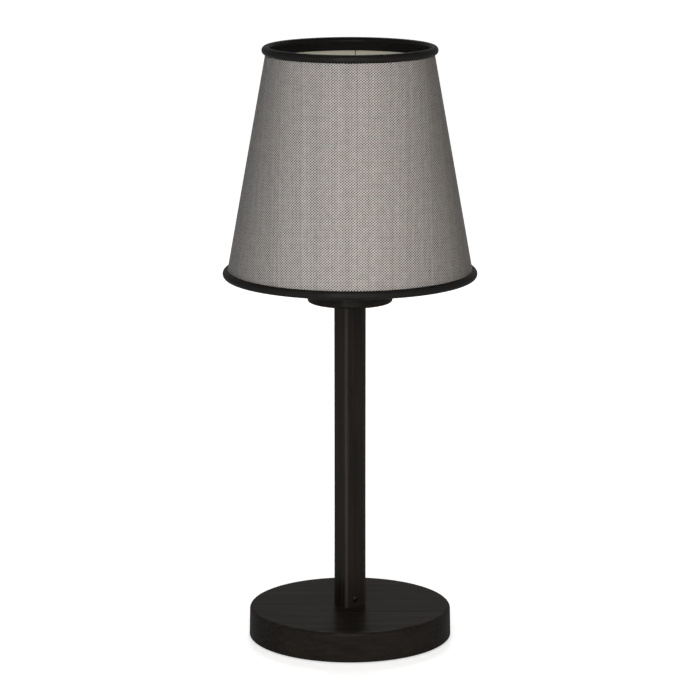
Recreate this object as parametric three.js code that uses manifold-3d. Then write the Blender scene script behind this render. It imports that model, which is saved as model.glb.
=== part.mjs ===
// Table lamp: a round turned base, a square post set at an angle, and a tapered fabric shade.
// Millimetres, +Z up. The origin is the centre of the underside, and -Y is the front.

import * as THREE from "three";
import { mergeVertices } from "three/addons/utils/BufferGeometryUtils.js";
import Module from "manifold-3d";

const wasm = await Module();
wasm.setup();

// Clearances
const seatGap = 0.3; // between pieces that rest on, or sit round, one another
const turnGap = 0.6; // round the lampholder's skirt, where the shade and its collar turn
const contactGap = 0.4; // between the side contact and the sleeve behind it
const cutMargin = 1; // how far a cutting tool runs past the face that it opens

// Facets round the turned pieces
const largeFacets = 48;
const smallFacets = 28;
const holeFacets = 20;
const screwFacets = 12;
const bulbFacets = 24;

// Base: a turned board on a ring of felt, hollowed below for the nut, with a hole for the lead
const baseDiameter = 135;
const baseThickness = 20;
const baseTaper = 0.4; // how much the radius shrinks towards the top
const baseTopRound = 2.2;
const baseFootRound = 0.8;
const recessDiameter = 34;
const recessDepth = 12;
const feltThickness = 1;
const feltEdgeInset = 4;
const feltHoleInset = 1;
const leadBore = 9;
const leadBoreDrop = 0.5; // from the recess's ceiling to the top of the bore
const grommetWall = 0.9;
const grommetDepth = 12;
const grommetFlangeWidth = 2.3;
const grommetFlangeThickness = 1.5;
const grommetChamfer = 0.6;

// Threaded tube that ties the base, post, disc and lampholder together
const tubeDiameter = 10;
const tubeBore = 8;
const tubeBelowNut = 2;
const tubeInHub = 9;
const nutAcrossFlats = 14;
const nutThickness = 4;
const washerDiameter = 28;
const washerThickness = 2;

// Post: a square lath with softened edges, one face turned part of the way to the right
const postWidth = 16;
const postLength = 207;
const postEdgeRound = 1.5;
const postTurn = THREE.MathUtils.degToRad(31);
const lockScrewHeight = 5.5;
const lockScrewHeadDiameter = 3.8;
const lockScrewHeadDepth = 1.2;
const lockScrewShankDiameter = 2.4;

// Disc under the shade
const discDiameter = 56;
const discThickness = 12;
const discEdgeRound = 1.5;
const lockWasherDiameter = 19;
const lockWasherThickness = 1.2;

// Lampholder: a cap on the tube, an insulating insert, and a shell whose skirt carries the shade
const capDiameter = 38;
const capHeight = 24;
const capWall = 1.8;
const capFloor = 2.2;
const capChamfer = 1.5;
const hubWall = 2.7;
const hubHeight = 10;
const ledgeHeight = 12.2;
const ledgeWidth = 2;
const insertThickness = 7.4;
const bossDiameter = 18;
const bossHeight = 3.2;
const shellCollarDepth = 4;
const shellCollarWall = 1.5;
const shellFlangeDiameter = 46;
const shellFlangeThickness = 2.4;
const skirtDiameter = 40;
const skirtHeight = 26;
const skirtWall = 1.6;
const sleeveBore = 27.8;
const sleeveWall = 1.4;
const sleeveDepth = 22;
const rimThickness = 1.8;
const rimChamfer = 0.8;
const contactThickness = 0.6;
const centreContactWidth = 6;
const centreContactReach = 8;
const sideContactWidth = 4;
const sideContactFoot = 3.5;
const terminalSpacing = 23;
const terminalHeadDiameter = 5.2;
const terminalHeadHeight = 2.1;
const terminalShankDiameter = 2.6;
const terminalShankLength = 5;

// Collar that clamps the shade's carrier on the skirt
const collarDiameter = 52;
const collarFlangeThickness = 2;
const collarHeight = 8;
const collarWall = 2.8;
const collarRibs = 24;
const collarRibDepth = 1;

// Shade: a fabric on a stiff lining, bound at both edges over wire rings
const shadeTopDiameter = 109.2; // through the upper wire
const shadeBottomDiameter = 161.8; // through the lower wire
const shadeHeight = 146.5; // from wire to wire
const carrierRise = 22.55; // from the lower wire up to the carrier's plate
const wireDiameter = 2.4;
const bindingDiameter = 5.5;
const bindingOffset = 0.6; // how far the wires stand out from the middle of the panel
const bindingLeg = 4;
const bindingLegThickness = 0.6;
const fabricThickness = 0.4;
const liningThickness = 0.35;
const panelGap = 0.25; // between the fabric and the lining, and round both in the binding

// Carrier: a plate with three wire arms, which hangs the shade on the lampholder
const plateDiameter = 54;
const plateThickness = 1.5;
const armCount = 3;
const armLap = 3; // how far each arm runs under the plate
const armWeld = 0.3; // how far it is pressed into the plate
const armFlatEnd = 5; // level run at the lower wire
const armBend = 3; // length of the bend at each end of the slope
const armBendDrop = 1;

// Bulb, measured up from the tip of its contact
const bulbLength = 108;
const bulbDiameter = 60;
const bulbNeckHeight = 62;
const bulbNeckDiameter = 57;
const bulbWall = 1.4;
const bulbCapDiameter = 26;
const bulbCapHeight = 26;
const bulbCapTaper = 1.5; // at the cap's lower edge
const bulbCapProud = 1.5; // how far the cap stands out of the lampholder
const bulbHousingLip = 0.8; // how far the housing stands out from the cap
const bulbSkirtHeight = 5.5; // where the metal cap begins
const bulbTipDiameter = 9;
const bulbTipHeight = 1.6;

// Heights and radii that follow
const baseTop = feltThickness + baseThickness;
const discBottom = baseTop + postLength;
const discTop = discBottom + discThickness;
const capBottom = discTop + seatGap + lockWasherThickness + seatGap;
const capRim = capHeight;
const flangeBottom = capRim + seatGap;
const flangeTop = flangeBottom + shellFlangeThickness;
const skirtTop = flangeTop + skirtHeight;
const insertBottom = ledgeHeight + seatGap;
const insertTop = insertBottom + insertThickness;
const bossTop = insertTop + bossHeight;
const plateBottom = flangeTop + seatGap;
const collarBottom = plateBottom + plateThickness + seatGap;
const recessCeiling = feltThickness + recessDepth;
const nutBottom = recessCeiling - seatGap - washerThickness - seatGap - nutThickness;
const leadHeight = recessCeiling - leadBoreDrop - leadBore / 2;
const boltRadius = tubeDiameter / 2 + seatGap; // of every hole that the tube passes through
const skirtRadius = skirtDiameter / 2;
const turnRadius = skirtRadius + turnGap;
const wireRadius = wireDiameter / 2;
const tipHeight = skirtTop - bulbCapHeight + bulbCapProud; // of the bulb's contact, above the cap's bottom

// Finishes
function finish(color, roughness, metalness = 0) {
  return new THREE.MeshStandardMaterial({ color, roughness, metalness });
}
const darkWood = finish(0x2a2624, 0.45);
const blackFelt = finish(0x161616, 0.95);
const blackPlastic = finish(0x1a1a1a, 0.4);
const zincSteel = finish(0xa9abae, 0.35, 0.9);
const brass = finish(0xb08d4a, 0.35, 0.9);
const whiteWire = finish(0xd9d7cf, 0.5, 0.2);
const ceramic = finish(0xe6e2d6, 0.5);
const greyFabric = finish(0x96948f, 0.9);
const creamLining = finish(0xd8d5c4, 0.7);
const blackBinding = finish(0x242322, 0.7);
const opalPlastic = finish(0xf2f1ec, 0.35);
const whitePlastic = finish(0xe9e9e6, 0.45);

// A closed geometry as a solid that can be cut and joined
function solidOf(geometry) {
  const bare = geometry.clone();
  bare.deleteAttribute("normal");
  bare.deleteAttribute("uv");
  const merged = mergeVertices(bare, 1e-4);
  const corners = merged.index.array;
  const kept = [];
  for (let i = 0; i < corners.length; i += 3) {
    const [a, b, c] = corners.slice(i, i + 3);
    if (a !== b && b !== c && c !== a) kept.push(a, b, c);
  }
  const vertProperties = merged.attributes.position.array;
  const triVerts = new Uint32Array(kept);
  return new wasm.Manifold(new wasm.Mesh({ numProp: 3, vertProperties, triVerts }));
}

function geometryOf(solid) {
  const { vertProperties, triVerts } = solid.getMesh();
  const geometry = new THREE.BufferGeometry();
  geometry.setAttribute("position", new THREE.BufferAttribute(vertProperties, 3));
  geometry.setIndex(new THREE.BufferAttribute(triVerts, 1));
  geometry.computeVertexNormals();
  return geometry;
}

function cut(geometry, ...tools) {
  return geometryOf(tools.reduce((rest, tool) => rest.subtract(solidOf(tool)), solidOf(geometry)));
}

function join(geometry, ...others) {
  return geometryOf(others.reduce((sum, other) => sum.add(solidOf(other)), solidOf(geometry)));
}

// A profile of [radius, height] points, turned about Z. One that starts on the axis ends there.
function revolve(profile, facets) {
  let area = 0;
  profile.forEach(([r, z], i) => {
    const [nextR, nextZ] = profile[(i + 1) % profile.length];
    area += r * nextZ - nextR * z;
  });
  const ordered = area > 0 ? profile : [...profile].reverse();
  const outline = ordered.map(([r, z]) => new THREE.Vector2(r, z));
  if (profile[0][0] > 0) outline.push(outline[0].clone());
  return new THREE.LatheGeometry(outline, facets).rotateX(Math.PI / 2);
}

// Points on a quarter turn or any other arc, in degrees
function arc(centreR, centreZ, radius, from, to, steps) {
  const points = [];
  for (let i = 0; i <= steps; i += 1) {
    const angle = THREE.MathUtils.degToRad(from + ((to - from) * i) / steps);
    points.push([centreR + radius * Math.cos(angle), centreZ + radius * Math.sin(angle)]);
  }
  return points;
}

function ring(inner, outer, bottom, top, facets) {
  return revolve([[inner, bottom], [outer, bottom], [outer, top], [inner, top]], facets);
}

function rod(radius, bottom, top, facets) {
  return revolve([[0, bottom], [radius, bottom], [radius, top], [0, top]], facets);
}

// A flat outline of [x, z] points, as wide as given, centred on the XZ plane
function strip(points, width) {
  const outline = new THREE.Shape(points.map(([x, z]) => new THREE.Vector2(x, z)));
  const bar = new THREE.ExtrudeGeometry(outline, { depth: width, bevelEnabled: false });
  return bar.rotateX(Math.PI / 2).translate(0, width / 2, 0);
}

function group(parent, height) {
  const made = new THREE.Group();
  made.position.z = height;
  parent.add(made);
  return made;
}

function place(parent, name, geometry, material) {
  const mesh = new THREE.Mesh(geometry, material);
  mesh.name = name;
  parent.add(mesh);
}

// Base
function baseDisc() {
  const outer = baseDiameter / 2;
  const recess = recessDiameter / 2;
  const upper = outer - baseTaper;
  const board = revolve(
    [
      [recess, 0],
      ...arc(outer - baseFootRound, baseFootRound, baseFootRound, -90, 0, 2),
      ...arc(upper - baseTopRound, baseThickness - baseTopRound, baseTopRound, 0, 90, 4),
      [boltRadius, baseThickness],
      [boltRadius, recessDepth],
      [recess, recessDepth],
    ],
    largeFacets,
  );
  const drill = rod(leadBore / 2, 0, outer + cutMargin, holeFacets)
    .rotateX(-Math.PI / 2)
    .translate(0, 0, leadHeight - feltThickness);
  return cut(board, drill).translate(0, 0, feltThickness);
}

function feltPad() {
  const inner = recessDiameter / 2 + feltHoleInset;
  return ring(inner, baseDiameter / 2 - feltEdgeInset, 0, feltThickness, largeFacets);
}

// A flanged sleeve that lines the lead's hole at the back of the base
function leadGrommet() {
  const sleeve = leadBore / 2 - seatGap;
  const bore = sleeve - grommetWall;
  const flange = sleeve + grommetFlangeWidth;
  const face = baseDiameter / 2 + seatGap;
  const profile = [
    [bore, face - grommetDepth],
    [sleeve, face - grommetDepth],
    [sleeve, face],
    [flange, face],
    [flange, face + grommetFlangeThickness - grommetChamfer],
    [flange - grommetChamfer, face + grommetFlangeThickness],
    [bore, face + grommetFlangeThickness],
  ];
  return revolve(profile, holeFacets).rotateX(-Math.PI / 2).translate(0, 0, leadHeight);
}

function hexNut() {
  const outline = new THREE.Shape();
  const corner = nutAcrossFlats / 2 / Math.cos(Math.PI / 6);
  for (let i = 0; i < 6; i += 1) {
    const angle = (i * Math.PI) / 3;
    outline[i === 0 ? "moveTo" : "lineTo"](corner * Math.cos(angle), corner * Math.sin(angle));
  }
  const bore = new THREE.Path().absarc(0, 0, boltRadius, 0, Math.PI * 2, true);
  outline.holes.push(bore);
  return new THREE.ExtrudeGeometry(outline, {
    depth: nutThickness,
    bevelEnabled: false,
    curveSegments: smallFacets / 2,
  });
}

// Post, with the tube's bore and the lock screw's hole in its front face
function post() {
  const half = postWidth / 2;
  const flat = half - postEdgeRound;
  const outline = new THREE.Shape();
  outline.absarc(flat, flat, postEdgeRound, 0, Math.PI / 2);
  outline.absarc(-flat, flat, postEdgeRound, Math.PI / 2, Math.PI);
  outline.absarc(-flat, -flat, postEdgeRound, Math.PI, Math.PI * 1.5);
  outline.absarc(flat, -flat, postEdgeRound, Math.PI * 1.5, Math.PI * 2);
  const lath = new THREE.ExtrudeGeometry(outline, {
    depth: postLength,
    bevelEnabled: false,
    curveSegments: 3,
  });
  const bore = rod(boltRadius, -cutMargin, postLength + cutMargin, holeFacets);
  const headRadius = lockScrewHeadDiameter / 2 + seatGap;
  const headHole = rod(headRadius, half - lockScrewHeadDepth, half + cutMargin, screwFacets);
  const shankHole = rod(lockScrewShankDiameter / 2 + seatGap, 0, half, screwFacets);
  const toFront = (hole) => hole.rotateX(Math.PI / 2).translate(0, 0, lockScrewHeight);
  return cut(lath, bore, toFront(headHole), toFront(shankHole));
}

function lockScrew() {
  const face = postWidth / 2;
  const head = lockScrewHeadDiameter / 2;
  const shank = lockScrewShankDiameter / 2;
  const underHead = face - lockScrewHeadDepth + seatGap;
  const tip = tubeDiameter / 2 + seatGap;
  const profile = [[0, tip], [shank, tip], [shank, underHead], [head, underHead], [head, face], [0, face]];
  return revolve(profile, screwFacets).rotateX(Math.PI / 2).translate(0, 0, lockScrewHeight);
}

function topDisc() {
  const edge = discDiameter / 2 - discEdgeRound;
  return revolve(
    [
      [boltRadius, 0],
      ...arc(edge, discEdgeRound, discEdgeRound, -90, 0, 2),
      ...arc(edge, discThickness - discEdgeRound, discEdgeRound, 0, 90, 2),
      [boltRadius, discThickness],
    ],
    largeFacets,
  );
}

// Lampholder, measured up from the cap's bottom
function holderCap() {
  const outer = capDiameter / 2;
  const inner = outer - capWall;
  return revolve(
    [
      [boltRadius, 0],
      [outer - capChamfer, 0],
      [outer, capChamfer],
      [outer, capHeight],
      [inner, capHeight],
      [inner, ledgeHeight],
      [inner - ledgeWidth, ledgeHeight],
      [inner - ledgeWidth, capFloor],
      [boltRadius + hubWall, capFloor],
      [boltRadius + hubWall, hubHeight],
      [boltRadius, hubHeight],
    ],
    smallFacets,
  );
}

function holderInsert() {
  const outer = capDiameter / 2 - capWall - seatGap;
  const boss = bossDiameter / 2;
  const body = revolve(
    [
      [0, insertBottom],
      [outer, insertBottom],
      [outer, insertTop],
      [boss, insertTop],
      [boss, bossTop],
      [0, bossTop],
    ],
    smallFacets,
  );
  const shankHole = terminalShankDiameter / 2 + seatGap;
  const depth = terminalShankLength + seatGap;
  const holes = [-1, 1].map((side) =>
    rod(shankHole, insertBottom - cutMargin, insertBottom + depth, screwFacets).translate(
      (side * terminalSpacing) / 2,
      0,
      0,
    ),
  );
  return cut(body, ...holes);
}

// A spring tongue from the boss up to the bulb's tip
function centreContact() {
  const foot = bossTop + seatGap;
  const top = tipHeight - seatGap;
  const half = centreContactReach / 2;
  const profile = [
    [-centreContactReach, foot],
    [-half, foot],
    [0, top - contactThickness],
    [half, top - contactThickness],
    [half, top],
    [-contactThickness / 2, top],
    [-half - contactThickness / 2, foot + contactThickness],
    [-centreContactReach, foot + contactThickness],
  ];
  return strip(profile, centreContactWidth);
}

// An angled strip that reaches up beside the bulb's metal cap
function sideContact() {
  const foot = insertTop + seatGap;
  const top = tipHeight + bulbSkirtHeight - seatGap;
  const outer = sleeveBore / 2 - contactGap;
  const inner = outer - contactThickness;
  const profile = [
    [outer - sideContactFoot, foot],
    [outer, foot],
    [outer, top],
    [inner, top],
    [inner, foot + contactThickness],
    [outer - sideContactFoot, foot + contactThickness],
  ];
  return strip(profile, sideContactWidth);
}

// A screw up into the insert from the wiring space, on one side or the other
function terminalScrew(side) {
  const head = terminalHeadDiameter / 2;
  const shank = terminalShankDiameter / 2;
  const underHead = insertBottom - seatGap;
  const profile = [
    [0, underHead - terminalHeadHeight],
    [head, underHead - terminalHeadHeight],
    [head, underHead],
    [shank, underHead],
    [shank, underHead + terminalShankLength],
    [0, underHead + terminalShankLength],
  ];
  return revolve(profile, screwFacets).translate((side * terminalSpacing) / 2, 0, 0);
}

function holderShell() {
  const collar = capDiameter / 2 - capWall - seatGap;
  const flange = shellFlangeDiameter / 2;
  const sleeve = sleeveBore / 2;
  const web = flangeTop - seatGap;
  return revolve(
    [
      [collar - shellCollarWall, capRim - shellCollarDepth + seatGap],
      [collar, capRim - shellCollarDepth + seatGap],
      [collar, flangeBottom],
      [flange, flangeBottom],
      [flange, flangeTop],
      [skirtRadius, flangeTop],
      [skirtRadius, skirtTop - rimChamfer],
      [skirtRadius - rimChamfer, skirtTop],
      [sleeve + rimChamfer, skirtTop],
      [sleeve, skirtTop - rimChamfer],
      [sleeve, skirtTop - sleeveDepth],
      [sleeve + sleeveWall, skirtTop - sleeveDepth],
      [sleeve + sleeveWall, skirtTop - rimThickness],
      [skirtRadius - skirtWall, skirtTop - rimThickness],
      [skirtRadius - skirtWall, web],
      [collar - shellCollarWall, web],
    ],
    smallFacets,
  );
}

// Ribbed ring nut on the skirt
function shadeCollar() {
  const wall = turnRadius + collarWall;
  const pitch = (Math.PI * 2) / collarRibs;
  const outline = new THREE.Shape();
  for (let i = 0; i < collarRibs; i += 1) {
    const corners = [
      [0.1, wall],
      [0.3, wall + collarRibDepth],
      [0.7, wall + collarRibDepth],
      [0.9, wall],
    ];
    corners.forEach(([share, radius], k) => {
      const angle = (i + share) * pitch;
      const move = i === 0 && k === 0 ? "moveTo" : "lineTo";
      outline[move](radius * Math.cos(angle), radius * Math.sin(angle));
    });
  }
  const ribbed = new THREE.ExtrudeGeometry(outline, { depth: collarHeight, bevelEnabled: false });
  const flange = rod(collarDiameter / 2, 0, collarFlangeThickness, largeFacets);
  const bore = rod(turnRadius, -cutMargin, collarHeight + cutMargin, largeFacets);
  return cut(join(ribbed, flange), bore).translate(0, 0, collarBottom);
}

// Shade, measured up from the lower wire
const slope = new THREE.Vector2((shadeBottomDiameter - shadeTopDiameter) / 2, -shadeHeight).normalize();
const outward = new THREE.Vector2(-slope.y, slope.x);
const upperEdge = { radius: shadeTopDiameter / 2, height: shadeHeight, sense: 1 };
const lowerEdge = { radius: shadeBottomDiameter / 2, height: 0, sense: -1 };
const panelEnd = wireRadius + seatGap;
const fabricOuter = (fabricThickness + panelGap + liningThickness) / 2 - bindingOffset;
const fabricInner = fabricOuter - fabricThickness;
const liningOuter = fabricInner - panelGap;
const liningInner = liningOuter - liningThickness;

// A point near a wire: so far into the panel, and so far out from it, as [radius, height]
function nearWire(edge, into, out) {
  return [
    edge.radius + edge.sense * slope.x * into + outward.x * out,
    edge.height + edge.sense * slope.y * into + outward.y * out,
  ];
}

function panel(inner, outer) {
  return revolve(
    [
      nearWire(upperEdge, panelEnd, inner),
      nearWire(upperEdge, panelEnd, outer),
      nearWire(lowerEdge, panelEnd, outer),
      nearWire(lowerEdge, panelEnd, inner),
    ],
    largeFacets,
  );
}

// The binding is a round bead about the wire, slit for the panel, with a leg down the inside
function binding(edge) {
  const bead = bindingDiameter / 2;
  const bore = wireRadius + seatGap;
  const slitOuter = fabricOuter + panelGap;
  const slitInner = liningInner - panelGap;
  const legInner = slitInner - bindingLegThickness;
  const degrees = (offset, radius) => THREE.MathUtils.radToDeg(Math.asin(offset / radius));
  const outside = arc(0, 0, bead, degrees(slitOuter, bead), 360 + degrees(legInner, bead), 9);
  const inside = arc(0, 0, bore, 360 + degrees(slitInner, bore), degrees(slitOuter, bore), 5);
  const leg = [
    [bead + bindingLeg, legInner],
    [bead + bindingLeg, slitInner],
  ];
  const section = [...outside, ...leg, ...inside];
  return revolve(section.map(([into, out]) => nearWire(edge, into, out)), largeFacets);
}

function wireRing(edge) {
  return revolve(arc(edge.radius, edge.height, wireRadius, 0, 300, 5), largeFacets);
}

// Directions of the carrier's arms, the first one towards the back
function armAngles() {
  return Array.from({ length: armCount }, (_, i) => Math.PI / 2 + (i * Math.PI * 2) / armCount);
}

function lowerBinding() {
  const holes = armAngles().map((angle) =>
    rod(wireRadius + seatGap, lowerEdge.radius - bindingDiameter, lowerEdge.radius, screwFacets)
      .rotateY(Math.PI / 2)
      .rotateZ(angle),
  );
  return cut(binding(lowerEdge), ...holes);
}

function carrierArm(angle) {
  const inner = plateDiameter / 2 - armLap;
  const outer = lowerEdge.radius - wireRadius - seatGap;
  const high = carrierRise - plateThickness / 2 - wireRadius + armWeld;
  const route = new THREE.CatmullRomCurve3(
    [
      new THREE.Vector3(inner, 0, high),
      new THREE.Vector3(inner + armLap, 0, high),
      new THREE.Vector3(inner + armLap + armBend, 0, high - armBendDrop),
      new THREE.Vector3(outer - armFlatEnd - armBend, 0, armBendDrop),
      new THREE.Vector3(outer - armFlatEnd, 0, 0),
      new THREE.Vector3(outer, 0, 0),
    ],
    false,
    "centripetal",
  );
  const section = new THREE.Shape().absarc(0, 0, wireRadius, 0, Math.PI * 2);
  const options = { steps: 14, curveSegments: 4, extrudePath: route };
  return new THREE.ExtrudeGeometry(section, options).rotateZ(angle);
}

function shadeCarrier() {
  const half = plateThickness / 2;
  const plate = ring(turnRadius, plateDiameter / 2, carrierRise - half, carrierRise + half, largeFacets);
  return join(plate, ...armAngles().map(carrierArm));
}

// Bulb, measured up from the tip of its contact
function bulbTip() {
  return rod(bulbTipDiameter / 2, 0, bulbTipHeight, screwFacets);
}

function bulbInsulator() {
  return revolve(
    [
      [0, bulbTipHeight + seatGap],
      [bulbTipDiameter / 2 + seatGap, bulbTipHeight + seatGap],
      [bulbCapDiameter / 2 - bulbCapTaper - seatGap, bulbSkirtHeight - seatGap],
      [0, bulbSkirtHeight - seatGap],
    ],
    bulbFacets,
  );
}

function bulbScrewCap() {
  const shell = bulbCapDiameter / 2;
  return revolve(
    [
      [0, bulbSkirtHeight],
      [shell - bulbCapTaper, bulbSkirtHeight],
      [shell, bulbSkirtHeight + bulbCapTaper],
      [shell, bulbCapHeight],
      [0, bulbCapHeight],
    ],
    bulbFacets,
  );
}

function bulbHousing() {
  const bottom = bulbCapHeight + seatGap;
  const rise = bulbNeckHeight - bottom;
  const narrow = bulbCapDiameter / 2 + bulbHousingLip;
  const flare = bulbNeckDiameter / 2 - narrow;
  const side = [0, 0.25, 0.5, 0.75, 1].map((share) => [
    narrow + flare * (0.5 - 0.5 * Math.cos(Math.PI * share)),
    bottom + rise * share,
  ]);
  return revolve([[0, bottom], ...side, [0, bulbNeckHeight]], bulbFacets);
}

// A thin dome, open below, that starts at the housing's width and is widest a little above it
function bulbDiffuser() {
  const radius = bulbDiameter / 2;
  const bottom = bulbNeckHeight + seatGap;
  const centre = bulbLength - radius;
  const start = THREE.MathUtils.radToDeg(Math.asin((bottom - centre) / radius));
  const innerRadius = radius - bulbWall;
  const innerStart = THREE.MathUtils.radToDeg(Math.asin((bottom - centre) / innerRadius));
  const dome = (size, from, to) => arc(0, centre, size, from, to, 7).map(([r, z]) => [Math.abs(r), z]);
  const onAxis = (points, i) => points.map((point, k) => (k === i ? [0, point[1]] : point));
  const outer = onAxis(dome(radius, start, 90), 7);
  const inner = onAxis(dome(innerRadius, 90, innerStart), 0);
  return revolve([...inner, ...outer], bulbFacets);
}

// Assembly
const lamp = new THREE.Group();

place(lamp, "base_disc", baseDisc(), darkWood);
place(lamp, "felt_pad", feltPad(), blackFelt);
place(lamp, "lead_grommet", leadGrommet(), blackPlastic);
const washerTop = recessCeiling - seatGap;
const washer = ring(boltRadius, washerDiameter / 2, washerTop - washerThickness, washerTop, smallFacets);
place(lamp, "base_washer", washer, zincSteel);
place(lamp, "base_nut", hexNut().translate(0, 0, nutBottom), zincSteel);
const tubeBottom = nutBottom - tubeBelowNut;
const tube = ring(tubeBore / 2, tubeDiameter / 2, tubeBottom, capBottom + tubeInHub, smallFacets);
place(lamp, "tie_tube", tube, zincSteel);

const column = group(lamp, baseTop);
column.rotation.z = postTurn;
place(column, "post", post(), darkWood);
place(column, "post_lock_screw", lockScrew(), zincSteel);

const head = group(lamp, discBottom);
place(head, "top_disc", topDisc(), darkWood);
const lockBottom = discThickness + seatGap;
const lockTop = lockBottom + lockWasherThickness;
const lockWasher = ring(boltRadius, lockWasherDiameter / 2, lockBottom, lockTop, smallFacets);
place(head, "lock_washer", lockWasher, zincSteel);

const holder = group(lamp, capBottom);
place(holder, "holder_cap", holderCap(), blackPlastic);
place(holder, "holder_insert", holderInsert(), ceramic);
place(holder, "centre_contact", centreContact(), brass);
place(holder, "side_contact", sideContact(), brass);
place(holder, "terminal_screw_left", terminalScrew(-1), brass);
place(holder, "terminal_screw_right", terminalScrew(1), brass);
place(holder, "holder_shell", holderShell(), blackPlastic);
place(holder, "shade_collar", shadeCollar(), blackPlastic);

const shade = group(holder, plateBottom + plateThickness / 2 - carrierRise);
place(shade, "shade_carrier", shadeCarrier(), whiteWire);
place(shade, "lower_wire", wireRing(lowerEdge), whiteWire);
place(shade, "upper_wire", wireRing(upperEdge), whiteWire);
place(shade, "shade_lining", panel(liningInner, liningOuter), creamLining);
place(shade, "shade_fabric", panel(fabricInner, fabricOuter), greyFabric);
place(shade, "upper_binding", binding(upperEdge), blackBinding);
place(shade, "lower_binding", lowerBinding(), blackBinding);

const bulb = group(holder, tipHeight);
place(bulb, "bulb_contact", bulbTip(), zincSteel);
place(bulb, "bulb_insulator", bulbInsulator(), blackPlastic);
place(bulb, "bulb_screw_cap", bulbScrewCap(), zincSteel);
place(bulb, "bulb_housing", bulbHousing(), whitePlastic);
place(bulb, "bulb_diffuser", bulbDiffuser(), opalPlastic);

export default lamp;
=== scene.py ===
import math

import bmesh
import bpy
from mathutils import Matrix, Vector


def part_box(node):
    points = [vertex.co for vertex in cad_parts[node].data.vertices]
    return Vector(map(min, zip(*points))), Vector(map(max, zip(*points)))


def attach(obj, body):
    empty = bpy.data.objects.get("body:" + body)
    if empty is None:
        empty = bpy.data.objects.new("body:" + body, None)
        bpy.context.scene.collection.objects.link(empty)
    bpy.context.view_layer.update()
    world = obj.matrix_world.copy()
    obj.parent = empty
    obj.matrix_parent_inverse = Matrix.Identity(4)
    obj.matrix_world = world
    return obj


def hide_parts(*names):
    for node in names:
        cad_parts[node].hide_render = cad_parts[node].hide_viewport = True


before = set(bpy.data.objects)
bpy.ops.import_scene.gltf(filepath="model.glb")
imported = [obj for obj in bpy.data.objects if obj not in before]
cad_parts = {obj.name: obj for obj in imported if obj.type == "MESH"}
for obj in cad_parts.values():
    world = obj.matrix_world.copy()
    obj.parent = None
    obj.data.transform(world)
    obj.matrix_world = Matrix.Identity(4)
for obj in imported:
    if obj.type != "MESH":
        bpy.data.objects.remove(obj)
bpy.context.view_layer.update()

# Table lamp: the looks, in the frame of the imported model. Shapes are made in millimetres, with +Z up
# and -Y to the front, and brought to metres as each piece is finished.
MM = 0.001
WELD = 0.001
TURN_STEPS = 128
SMALL_STEPS = 64
THREAD_STEPS = 48
WIRE_SIDES = 16
HEX_SIDES = 6
SHARP_ANGLE = math.radians(32)

# How near two heights or two radii count as one, and how far a drill runs past what it cuts
LEVEL_WITHIN = 0.01
RADIUS_WITHIN = 0.1
OVERRUN = 1

# The gap that two pieces keep where one sits in or on the other
SEAT_GAP = 0.3

# Roundings of small edges
FINE = 0.15
CRISP = 0.2
EASED = 0.3
SOFT = 0.4

# Camera, as the photograph was taken: place and reach in metres, lens and sensor in millimetres
CAMERA_PLACE = (0, -2.0031, 0.6111)
CAMERA_TILT = math.radians(11.73)
CAMERA_LENS = 159.4
CAMERA_SENSOR = 36
CAMERA_REACH = 60

# Studio. The last three are heights of a unit direction: the ceiling's light starts at the first and is
# full at the second, and the white that is seen fades from the first to the third.
SOFTBOX_AIM = Vector((0, 0, 0.22))
ROOM_LEVEL = 0.018
CEILING_LEVEL = 0.165
CEILING_START = 0.5
CEILING_FULL = 0.9
WHITE_END = 0.7

# Floor, whose glow rises from the near to the far radius
FLOOR_RADIUS = 14000
FLOOR_GAP = 0.05
FLOOR_SIDES = 96
NEAR_RADIUS = 120
NEAR_GLOW = 0.64
FAR_RADIUS = 360
FAR_GLOW = 1.0


def span(node):
    """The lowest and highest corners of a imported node, in millimetres."""
    low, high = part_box(node)
    return Vector(low) / MM, Vector(high) / MM


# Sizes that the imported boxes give
base_low, base_high = span("base_disc")
felt_low, felt_high = span("felt_pad")
disc_low, disc_high = span("top_disc")
washer_low, washer_high = span("base_washer")
nut_low, nut_high = span("base_nut")
tube_low, tube_high = span("tie_tube")
post_low, post_high = span("post")
grommet_low, grommet_high = span("lead_grommet")
lock_low, lock_high = span("lock_washer")
cap_low, cap_high = span("holder_cap")
insert_low, insert_high = span("holder_insert")
shell_low, shell_high = span("holder_shell")
collar_low, collar_high = span("shade_collar")
tip_low, tip_high = span("bulb_contact")
insulator_low, insulator_high = span("bulb_insulator")
bulb_cap_low, bulb_cap_high = span("bulb_screw_cap")
housing_low, housing_high = span("bulb_housing")
dome_low, dome_high = span("bulb_diffuser")

# Wood
BASE_TAPER = 0.4
BASE_TOP_ROUND = 2.2
BASE_FOOT_ROUND = 0.8
RECESS_RADIUS = 17
RECESS_DEPTH = 12
FELT_MARGIN = 1
BOLT_HOLE = 5.3
LEAD_BORE = 4.5
BUSH_WALL = 0.9
BUSH_SEAT_ROUND = 0.25
BUSH_FLANGE_ROUND = 0.7
BUSH_MOUTH_ROUND = 0.5
POST_WIDTH = 16
POST_EDGE_ROUND = 1.5
POST_END_ROUND = 0.25
POST_TURN = math.radians(31)
# How far in from the post's edges its lighter band reaches: partly worn stain, partly painted highlight
ARRIS_WEAR_AND_HIGHLIGHT = 3.4
DISC_EDGE_ROUND = 1.5

# Fasteners
SCREW_HEIGHT = 5.5
SCREW_HEAD = 1.9
SCREW_SHANK = 1.2
SCREW_HEAD_DEPTH = 1.2
SCREW_HEAD_ROUND = 0.85
SCREW_TIP = 5.3
SCREW_SOCKET = 1.0
SCREW_SOCKET_DEPTH = 0.8
TUBE_THREAD_PITCH = 1
TUBE_THREAD_DEPTH = 0.55
TUBE_THREAD_LENGTH = 8.2
TUBE_BORE = 4
THREAD_RUNOUT = 0.5
NUT_CHAMFER = 0.6
NUT_BLANK = 0.2

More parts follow.
